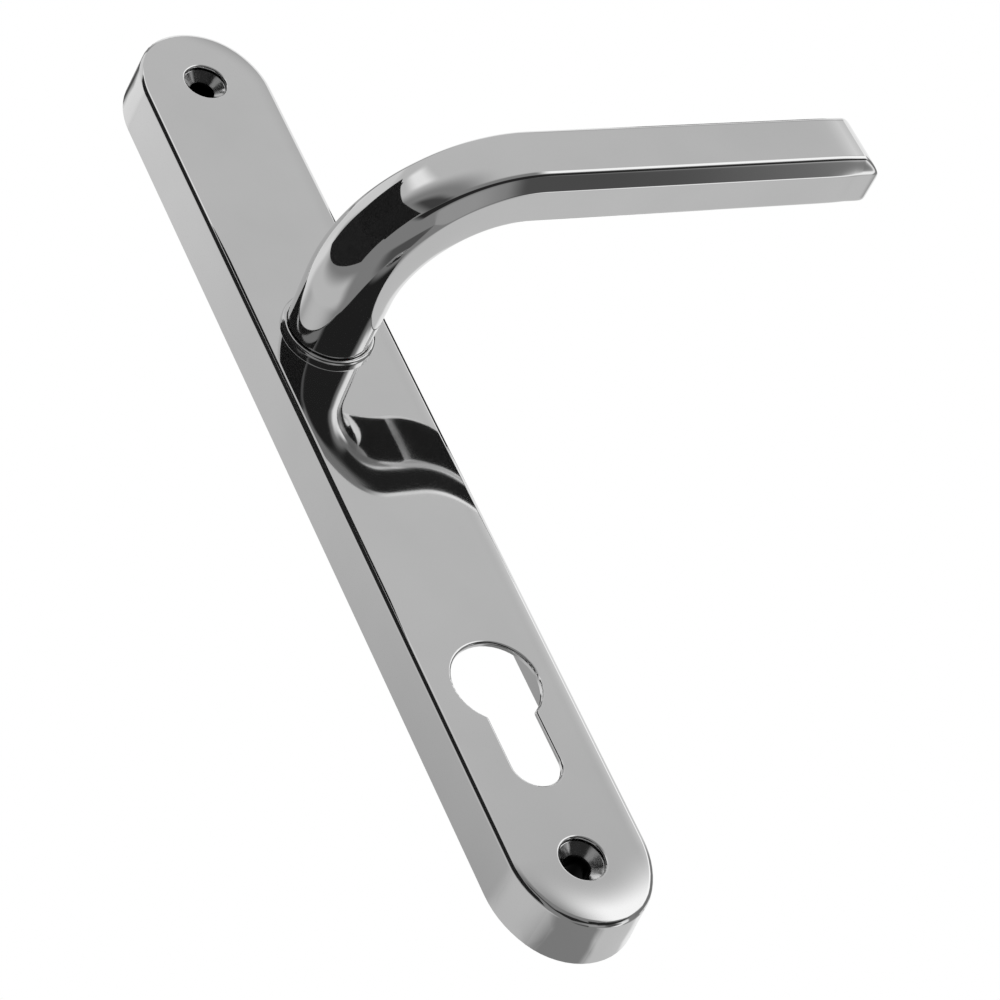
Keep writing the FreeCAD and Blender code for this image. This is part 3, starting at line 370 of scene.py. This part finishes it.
def shade_truly(piece):
    """Set each corner's normal from the faces round its point, the widest plane first.

    A mirror shows a normal that is wrong by a tenth of a degree. So a flat face keeps its
    own normal up to its edge, and a round one gets the mean of its facets: each facet
    counts by the square of the area of the whole plane that it lies in.
    """
    mesh = piece.data
    normals = np.empty(len(mesh.polygons) * 3, dtype=np.float32)
    areas = np.empty(len(mesh.polygons), dtype=np.float32)
    mesh.polygons.foreach_get("normal", normals)
    mesh.polygons.foreach_get("area", areas)
    normals = normals.reshape(-1, 3)
    face_of_corner = np.repeat(np.arange(len(areas)), [len(f.vertices) for f in mesh.polygons])
    point_of_corner = np.array([v for f in mesh.polygons for v in f.vertices])
    places = np.empty(len(mesh.vertices) * 3, dtype=np.float32)
    mesh.vertices.foreach_get("co", places)
    places = places.reshape(-1, 3)
    first_corner = point_of_corner[np.unique(face_of_corner, return_index=True)[1]]
    offsets = np.einsum("ij,ij->i", normals, places[first_corner])
    planes = np.round(np.column_stack(
        [normals * NORMAL_STEPS, offsets[:, None] / (PLANE_APART * MM)]))
    _, plane_of_face = np.unique(planes, axis=0, return_inverse=True)
    plane_of_face = plane_of_face.ravel()
    plane_area = np.bincount(plane_of_face, weights=areas)
    heft = (plane_area[plane_of_face] / MM ** 2) ** 2
    spots = np.round(places / (SPOT_APART * MM))
    _, spot_of_point = np.unique(spots, axis=0, return_inverse=True)
    spot_of_corner = spot_of_point.ravel()[point_of_corner]
    order = np.argsort(spot_of_corner, kind="stable")
    starts = np.flatnonzero(np.diff(spot_of_corner[order], prepend=-1))
    result = normals[face_of_corner].astype(float)
    for corners in np.split(order, starts[1:]):
        faces = face_of_corner[corners]
        alike = normals[faces] @ normals[faces].T > math.cos(SMOOTH_WITHIN)
        result[corners] = alike @ (normals[faces] * heft[faces][:, None])
    result /= np.linalg.norm(result, axis=1)[:, None]
    mesh.polygons.foreach_set("use_smooth", [True] * len(mesh.polygons))
    mesh.normals_split_custom_set(result.tolist())


for node_name in FINISHES:
    shade_truly(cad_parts[node_name])
print("true normals on", len(FINISHES), "CAD nodes")

# %% [markdown]
# ## The lever
# The real lever is one zinc casting, polished by hand, so its flats run into the round
# neck without a seam. It could be a subdivision cage, but a mirror shows every ripple of
# a coarse cage. It is drawn as rings instead: at each station along the centre line a
# ring of points is thrown out from the centre at fixed angles. The ring is a circle at
# the neck and the grip's own outline further on, and eases from one to the other round
# the bend. The same rings carry on through the shoulder, the spigot with its clip
# groove and two flats, and the square socket for the spindle.

# %% Lever sizes, in millimetres
NECK_R = 9.2
NECK_SWELL = 0.3
NECK_END = 12.2
BEND_R = 30.7
BLEND_START = 15.0
GRIP_FRONT = 63.8
GRIP_BACK = 50.8
GRIP_HALF = 7.85
FACE_HALF = 6.05
CHAMFER_DEPTH = 3.8
LENGTH = 117.0
NOSE_R = 13.0
NOSE_RISE = 1.6
HEEL_R = 1.5
ARRIS_R = 1.25
CORNER_POWER = 22
END_R = 4.5
EASE = 6.0
HEEL_CORNER_R = 1.6
GRIP_MIDDLE = (GRIP_FRONT + GRIP_BACK) / 2
BEND_STARTS = GRIP_MIDDLE - BEND_R
DOME = 1.3
TIP_SPAN = 7
EDGE_BREAK = 0.3
RAYS = 288
CORNER_POINTS = 7
NECK_RINGS, GRIP_RINGS = 14, 44
BEND_STEP, TIP_STEP = 1.0, 1.5
ray_angles = np.arange(RAYS) / RAYS * 2 * math.pi
print("grip is", GRIP_FRONT - GRIP_BACK, "deep and", 2 * GRIP_HALF, "high")

# %% Outlines seen from their centre
NEARLY_ZERO, TOUCHING, NO_HIT = 1e-12, 1e-9, 1e9
GRAZING, FAR_OFF = 1e-3, 1e3


def rounded_outline(corners, radii):
    """Round the corners of a convex outline, listed anticlockwise, each with its radius."""
    outline = []
    count = len(corners)
    for i, (corner, radius) in enumerate(zip(corners, radii)):
        corner = np.array(corner, float)
        before = np.array(corners[i - 1], float) - corner
        after = np.array(corners[(i + 1) % count], float) - corner
        before /= np.linalg.norm(before)
        after /= np.linalg.norm(after)
        half = math.acos(max(-1.0, min(1.0, float(before @ after)))) / 2
        bisector = (before + after) / np.linalg.norm(before + after)
        centre = corner + bisector * radius / math.sin(half)
        start = corner + before * radius / math.tan(half) - centre
        end = corner + after * radius / math.tan(half) - centre
        for share in np.linspace(0, 1, CORNER_POINTS):
            spoke = start * (1 - share) + end * share
            outline.append(centre + spoke / np.linalg.norm(spoke) * radius)
    return np.array(outline)


def reach_of(outline):
    """How far an outline lies from the origin along each of the rays."""
    at_x, at_y = outline.T
    step_x, step_y = (np.roll(outline, -1, axis=0) - outline).T
    ray_x, ray_y = np.cos(ray_angles)[:, None], np.sin(ray_angles)[:, None]
    cross = ray_x * step_y - ray_y * step_x
    cross = np.where(np.abs(cross) < NEARLY_ZERO, NEARLY_ZERO, cross)
    distance = (at_x * step_y - at_y * step_x) / cross
    share = (at_x * ray_y - at_y * ray_x) / cross
    hit = (distance > 0) & (share >= -TOUCHING) & (share <= 1 + TOUCHING)
    return np.where(hit, distance, NO_HIT).min(1)


def soft_least(*reaches):
    """The least of several reaches, with the corners between them rounded."""
    total = sum(np.power(np.maximum(r, GRAZING), -CORNER_POWER) for r in reaches)
    return np.power(total, -1 / CORNER_POWER)


def limit_along(limit, share):
    """How far each ray goes to a flat limit, where share of the ray runs towards it."""
    return np.where(share > GRAZING, limit / np.maximum(share, GRAZING), FAR_OFF)


def arc_height(radius, past):
    """Height of a circle of a radius at a length past its centre."""
    return math.sqrt(max(radius ** 2 - past ** 2, 0))


half_depth = (GRIP_FRONT - GRIP_BACK) / 2
shoulder = half_depth - CHAMFER_DEPTH
GRIP_CORNERS = [
    (half_depth, -FACE_HALF), (half_depth, FACE_HALF), (shoulder, GRIP_HALF),
    (-half_depth, GRIP_HALF), (-half_depth, -GRIP_HALF), (shoulder, -GRIP_HALF),
]
GRIP_RADII = [ARRIS_R, ARRIS_R, ARRIS_R, HEEL_CORNER_R, HEEL_CORNER_R, ARRIS_R]
grip_reach = reach_of(rounded_outline(GRIP_CORNERS, GRIP_RADII))
print("grip reaches", grip_reach.min().round(2), "to", grip_reach.max().round(2), "mm")

# %% Rings of the neck, the bend and the grip


def ease(share):
    """0 to 1 with no corner at either end."""
    share = min(max(share, 0.0), 1.0)
    return share * share * (3 - 2 * share)


def ring_at(centre, out, reach):
    """Points of a ring in mm: out is the unit vector of angle 0, and +Z that of 90."""
    across = np.array([0.0, 0.0, 1.0])
    return (np.array(centre)[None, :]
            + (reach * np.cos(ray_angles))[:, None] * np.array(out)[None, :]
            + (reach * np.sin(ray_angles))[:, None] * across[None, :])


def neck_rings():
    """Straight neck, from its shoulder to the start of the bend."""
    rings = []
    for share in np.linspace(0, 1, NECK_RINGS)[:-1]:
        depth = NECK_END + share * (BEND_STARTS - NECK_END)
        reach = np.full(RAYS, NECK_R + NECK_SWELL * share)
        rings.append(ring_at((0, -depth, 0), (-1, 0, 0), reach))
    return rings


def bend_rings():
    """The bend, where the circle eases into the grip's outline."""
    rings = []
    for angle in np.arange(0, 90 + BEND_STEP, BEND_STEP):
        turn = math.radians(angle)
        centre = (BEND_R * (1 - math.cos(turn)), -BEND_STARTS - BEND_R * math.sin(turn), 0)
        out = (-math.cos(turn), -math.sin(turn), 0)
        blend = ease((angle - BLEND_START) / (90 - BLEND_START))
        reach = (NECK_R + NECK_SWELL) * (1 - blend) + grip_reach * blend
        rings.append(ring_at(centre, out, reach))
    return rings


def tip_limits(x):
    """The grip's front and back at a distance x, measured outwards from its middle."""
    nose_centre = (LENGTH - NOSE_R, GRIP_FRONT - NOSE_R + NOSE_RISE)
    heel_centre = (LENGTH - HEEL_R, GRIP_BACK + HEEL_R)
    front, back = GRIP_FRONT, GRIP_BACK
    if x > nose_centre[0]:
        front = min(front, nose_centre[1] + arc_height(NOSE_R, x - nose_centre[0]))
    if x > heel_centre[0]:
        back = heel_centre[1] - arc_height(HEEL_R, x - heel_centre[0])
    return front - GRIP_MIDDLE, back - GRIP_MIDDLE


def tip_reach(x):
    """The grip's reach near its tip, cut to the tip's profile, and the middle it is from."""
    front, back = tip_limits(x)
    middle = (front + back) / 2
    ahead = np.cos(ray_angles)
    across = np.abs(np.sin(ray_angles))
    high = GRIP_HALF - END_R + arc_height(END_R, max(x - LENGTH + END_R, 0))
    spare = 1 - ease((x - LENGTH + NOSE_R) / EASE)
    outline = rounded_outline(GRIP_CORNERS, GRIP_RADII) - [middle, 0]
    reach = soft_least(reach_of(outline), limit_along(front - middle + spare, ahead),
                       limit_along(middle - back + spare, -ahead),
                       limit_along(high + spare, across))
    return reach, middle


def grip_rings():
    """The straight grip, and the tip, where each ring is cut to the tip's own profile."""
    rings = []
    tip_turns = np.radians(np.arange(TIP_STEP, 90, TIP_STEP))
    places = list(np.linspace(BEND_R, LENGTH - TIP_SPAN, GRIP_RINGS)[1:])
    places += [LENGTH - TIP_SPAN * (1 - math.sin(turn)) for turn in tip_turns]
    for x in places:
        reach, middle = tip_reach(x) if x > LENGTH - NOSE_R else (grip_reach, 0.0)
        into_dome = max((x - LENGTH + DOME) / DOME, 0)
        reach = reach * math.sqrt(max(1 - into_dome ** 3, 0))
        rings.append(ring_at((x, -GRIP_MIDDLE - middle, 0), (0, -1, 0), reach))
    return rings


lever_rings = neck_rings() + bend_rings() + grip_rings()
print(len(lever_rings), "rings of", RAYS, "points from the shoulder to the tip")

# %% [markdown]
# ### Spigot and socket
# Behind the shoulder the casting is turned down to a spigot that runs in the bush. It
# has a groove for the retaining clip, then two flats that drive the spring cassette.
# The socket takes the 8 mm square spindle. Its rings are the same rays, met by a circle
# with two flats, or by a square.

# %% Rings of the spigot and the socket
SPIGOT_R = 7.0
GROOVE_R = 6.3
FLAT_HALF = 6.2
SQUARE_HALF = 4.05
SPIGOT_BACK = 0.6
GROOVE = (8.5, 7.6)
SOCKET_DEPTH = 28.0


def behind(depth, reach):
    """A ring about the spindle axis at a depth in front of the door."""
    return ring_at((0, -depth, 0), (-1, 0, 0), np.broadcast_to(reach, RAYS))


sideways, upwards = np.abs(np.cos(ray_angles)), np.abs(np.sin(ray_angles))
flats = np.minimum(SPIGOT_R, FLAT_HALF / np.maximum(sideways, NEARLY_ZERO))
square = SQUARE_HALF / np.maximum(sideways, upwards)
socket_floor = SPIGOT_BACK + SOCKET_DEPTH
spigot_rings = [
    behind(socket_floor, 0.01), behind(socket_floor, square), behind(SPIGOT_BACK, square),
    behind(SPIGOT_BACK, square + EDGE_BREAK), behind(SPIGOT_BACK, flats - EDGE_BREAK),
    behind(SPIGOT_BACK + EDGE_BREAK, flats), behind(GROOVE[1], flats),
    behind(GROOVE[1], GROOVE_R), behind(GROOVE[0], GROOVE_R), behind(GROOVE[0], SPIGOT_R),
    behind(NECK_END, SPIGOT_R), behind(NECK_END, NECK_R - EDGE_BREAK),
    behind(NECK_END + 0.3 * EDGE_BREAK, NECK_R - 0.3 * EDGE_BREAK),
]
lever_rings[0] = behind(NECK_END + EDGE_BREAK, NECK_R)
print("socket is", 2 * SQUARE_HALF, "mm square and", SOCKET_DEPTH, "mm deep")

# %% Join the rings into the lever


def skin_of_rings(name, rings):
    """A mesh whose quads join each ring to the next, closed at both ends."""
    points = np.concatenate(rings) * MM
    faces = []
    for start in range(0, (len(rings) - 1) * RAYS, RAYS):
        for k in range(RAYS):
            this, after = start + k, start + (k + 1) % RAYS
            faces.append((this, after, after + RAYS, this + RAYS))
    last = (len(rings) - 1) * RAYS
    faces.append(tuple(range(RAYS - 1, -1, -1)))
    faces.append(tuple(range(last, last + RAYS)))
    piece = mesh_piece(name, points.tolist(), faces)
    work = bmesh.new()
    work.from_mesh(piece.data)
    bmesh.ops.recalc_face_normals(work, faces=work.faces)
    if work.calc_volume(signed=True) < 0:
        bmesh.ops.reverse_faces(work, faces=work.faces)
    work.to_mesh(piece.data)
    work.free()
    return piece


polished_lever = skin_of_rings("polished_lever", spigot_rings + lever_rings)
shade_smooth(polished_lever)
set_finish(polished_lever, lever_chrome)
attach(polished_lever, "lever_body")
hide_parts("lever")
print("lever has", len(polished_lever.data.polygons), "faces")

# %% [markdown]
# ## Studio
# Chrome has no colour of its own: it shows the room. The room here is a pale studio.
# The object stands well above a pale floor, and the walls are a soft white that the
# camera sees as the background.

# %% Where a look goes, as angles
studio = bpy.data.worlds.new("pale_studio")
bpy.context.scene.world = studio
studio.use_nodes = True
walls_tree = studio.node_tree
walls_tree.nodes.clear()
TURN = 360.0
looking = add_node(walls_tree, "ShaderNodeTexCoord").outputs["Generated"]
split = add_node(walls_tree, "ShaderNodeSeparateXYZ", links={"Vector": looking})


def math_on_walls(operation, *values):
    """A maths node in the walls' tree."""
    return maths(walls_tree, operation, *values)


to_front = math_on_walls("MULTIPLY", split.outputs["Y"], -1.0)
bearing = math_on_walls("DEGREES", math_on_walls("ARCTAN2", split.outputs["X"], to_front))
height = math_on_walls("DEGREES", math_on_walls("ARCSINE", split.outputs["Z"]))
print("bearing 0 looks out from the plate's front, 90 along the grip; height 90 is straight up")

# %% Light and shade on the studio walls
# Each panel: bearing, height, half width, half height, softness, all in degrees; light level
WALL_LIGHT, LIGHT_ON_MATT, BACKDROP = 0.25, 0.9, 1.0
PANELS = {
    "soft_ceiling_behind": (-150, 62, 36, 30, 12, 0.84),
    "soft_ceiling": (-60, 74, 110, 17, 8, 0.75),
    "ceiling_on_the_right": (102, 50, 44, 26, 7, 0.95),
    "pale_wall_in_front": (-3, 55, 54, 35, 10, 0.6),
    "grey_wall_along_the_grip": (88, -5, 18, 22, 8, 0.2),
    "window_glow": (40, 2, 12, 18, 5, 1.2),
    "bright_window": (58, 12, 9, 22, 6, 1.25),
    "edge_of_the_soft_wall": (-32, 46, 7, 17, 5, 1.0),
    "white_wall_behind_the_tip": (134, 20, 13, 24, 6, 0.9),
    "white_screen_behind_the_grip": (141, -30, 13, 32, 6, 0.62),
    "dark_doorway_behind": (167, 28, 13, 22, 5, 0.03),
    "pale_strip_beside_the_card": (-128, 0, 12, 38, 7, 0.6),
    "dark_bench": (4, -44, 56, 19, 4, 0.022),
    "dark_camera": (-35, -10, 8, 14, 4, 0.06),
    "bench_end": (86, -60, 24, 6, 3, 0.085),
    "lit_edge_of_the_bench": (96, -44, 30, 6, 4, 0.95),
    "bright_edge_beside_it": (114, -50, 9, 7, 4, 1.1),
    "floor_right": (45, -84, 80, 12, 6, 0.36),
    "floor_left": (-144, -78, 40, 12, 6, 0.09),
}


def soft_edged(distance, half, soft):
    """1 within half of a panel's middle, 0 outside, and soft in between."""
    node = add_node(walls_tree, "ShaderNodeMapRange", {"interpolation_type": "SMOOTHSTEP"},
                    {"From Min": half + soft, "From Max": half - soft}, {"Value": distance})
    return node.outputs["Result"]


def under_panel(values):
    """1 inside a soft-edged panel of the wall and 0 outside."""
    at_bearing, at_height, half_width, half_height, soft, _ = values
    turned = math_on_walls("SUBTRACT", bearing, at_bearing)
    aside = math_on_walls("ABSOLUTE", math_on_walls("WRAP", turned, -TURN / 2, TURN / 2))
    apart = math_on_walls("ABSOLUTE", math_on_walls("SUBTRACT", height, at_height))
    return math_on_walls("MULTIPLY", soft_edged(aside, half_width, soft),
                         soft_edged(apart, half_height, soft))


def mixed(weight, under, over):
    """Mix two light levels, each a number or a node's output."""
    change = math_on_walls("MULTIPLY", math_on_walls("SUBTRACT", over, under), weight)
    return math_on_walls("ADD", under, change)


level = WALL_LIGHT
for values in PANELS.values():
    level = mixed(under_panel(values), level, values[-1])
rays = add_node(walls_tree, "ShaderNodeLightPath")
level = mixed(rays.outputs["Is Diffuse Ray"], level, LIGHT_ON_MATT)
level = mixed(rays.outputs["Is Camera Ray"], level, BACKDROP)
walls = add_node(walls_tree, "ShaderNodeBackground", inputs={"Color": linear("ffffff")},
                 links={"Strength": level})
add_node(walls_tree, "ShaderNodeOutputWorld", links={"Surface": walls.outputs["Background"]})
bpy.context.scene.view_settings.view_transform = "Standard"
print(len(PANELS), "panels of light and shade")

# %% [markdown]
# ### Black card
# A studio gives chrome its depth with a black card. This one stands beside the
# lever's neck, tall and a little tilted. Its corners are given as the bearing and
# height at which the spindle sees them, at one distance from it. Only reflections see it.

# %% Black card
CARD_DISTANCE = 1.2
CARD_FIBRE = 300.0
CARD_FACES = (-82, 10)
CARD_CORNERS = [(-117, 47), (-42, 58), (-56, -20), (-98, -34)]
card_paint, card_tree, card_shader = new_material("matt_black_card")
card_fibre = add_node(card_tree, "ShaderNodeTexNoise", inputs={"Scale": CARD_FIBRE})
card_tone = ramp(card_tree, card_fibre.outputs["Fac"], [(0.3, "262626"), (0.7, "2c2c2c")])
card_tree.links.new(card_tone, card_shader.inputs["Base Color"])
card_shader.inputs["Roughness"].default_value = 1.0
card_shader.inputs["Specular IOR Level"].default_value = 0.0


def toward(at_bearing, at_height):
    """The unit vector of a bearing and a height."""
    b, h = math.radians(at_bearing), math.radians(at_height)
    return Vector((math.sin(b) * math.cos(h), -math.cos(b) * math.cos(h), math.sin(h)))


def dark_card(name, corners, faces):
    """A matt black card that only reflections see."""
    card = mesh_piece(name, [tuple(c) for c in corners], faces)
    set_finish(card, card_paint)
    card.visible_camera = False
    card.visible_diffuse = False
    card.visible_shadow = False
    return card


def strip_faces(pairs):
    """The faces of a strip whose corners come in pairs."""
    return [(2 * k, 2 * k + 1, 2 * k + 3, 2 * k + 2) for k in range(pairs - 1)]


card_axis = toward(*CARD_FACES)
corners = [toward(*c) * (CARD_DISTANCE / toward(*c).dot(card_axis)) for c in CARD_CORNERS]
black_card = dark_card("black_card", corners, [(0, 1, 2, 3)])
edges = [round((corners[i] - corners[i - 1]).length, 2) for i in range(len(corners))]
print("black card is", edges, "m round its edges")

# %% [markdown]
# ### Two more cards
# The near card is a curved strip close to the neck, which it darkens all down its left
# side. Each of its stations is a bearing and height for the inner edge, the same for the
# outer edge, and a distance in mm, all seen from the neck. The other card stands past
# the end of the grip, where only the grip's back sees it, so that the grip's reflection
# in the cover goes dark. Its corners are metres in y and z at one x.

# %% Two more cards
NECK_EYE = Vector((0.0, -0.020, 0.0))
NEAR_CARD = [(-16, 50, -56, 52, 85), (-30, 10, -62, 5, 85), (-27, -14, -55, -30, 85)]
FAR_X = 0.132
FAR_CORNERS = [(-0.062, 0.040), (-0.062, 0.120), (0.09, 0.040), (0.09, 0.120)]

near_corners = []
for inner_b, inner_h, outer_b, outer_h, apart in NEAR_CARD:
    near_corners.append(NECK_EYE + apart * MM * toward(inner_b, inner_h))
    near_corners.append(NECK_EYE + apart * MM * toward(outer_b, outer_h))
dark_card("near_card_round_the_neck", near_corners, strip_faces(len(NEAR_CARD)))
far_corners = [(FAR_X, y, z) for y, z in FAR_CORNERS]
dark_card("dark_card_beyond_the_tip", far_corners, strip_faces(len(far_corners) // 2))
near_span = (near_corners[0] - near_corners[-2]).length
print("near card spans", round(near_span, 3), "m from end to end")

# %% Pale floor
FLOOR_DROP = 0.95
FLOOR_REACH = 4.0
FLOOR_MOTTLE = 40.0
floor_corners = [(x * FLOOR_REACH, y * FLOOR_REACH, -FLOOR_DROP)
                 for x, y in ((-1, -1), (1, -1), (1, 1), (-1, 1))]
pale_floor = mesh_piece("pale_floor", floor_corners, [(0, 1, 2, 3)])
floor_paint, floor_tree, floor_shader = new_material("matt_white_floor")
floor_grain = add_node(floor_tree, "ShaderNodeTexNoise", inputs={
    "Scale": FLOOR_MOTTLE, "Detail": 3.0})
floor_tone = ramp(floor_tree, floor_grain.outputs["Fac"], [(0.3, "e9e9e9"), (0.7, "efefef")])
floor_tree.links.new(floor_tone, floor_shader.inputs["Base Color"])
floor_shader.inputs["Roughness"].default_value = 0.9
set_finish(pale_floor, floor_paint)
pale_floor.visible_glossy = False
print("floor is", FLOOR_DROP, "m below the spindle")

# %% [markdown]
# ## Camera
# A long lens, from below and to the left of the handle, rolled so that the plate leans.

# %% Camera
EYE = Vector((-0.35292, -0.51769, -0.42118))
AIM = Vector((0.00714, -0.030, -0.06149))
ROLL = math.radians(26.675)
SENSOR, LENS = 36.0, 128.36
camera_data = bpy.data.cameras.new("studio_camera")
camera_data.sensor_width = SENSOR
camera_data.lens = LENS
studio_camera = bpy.data.objects.new("studio_camera", camera_data)
bpy.context.scene.collection.objects.link(studio_camera)
aimed = (AIM - EYE).to_track_quat("-Z", "Y").to_matrix().to_4x4()
studio_camera.matrix_world = Matrix.Translation(EYE) @ aimed @ Matrix.Rotation(-ROLL, 4, "Z")
bpy.context.scene.camera = studio_camera
print("camera stands", round((AIM - EYE).length, 3), "m from what it looks at")
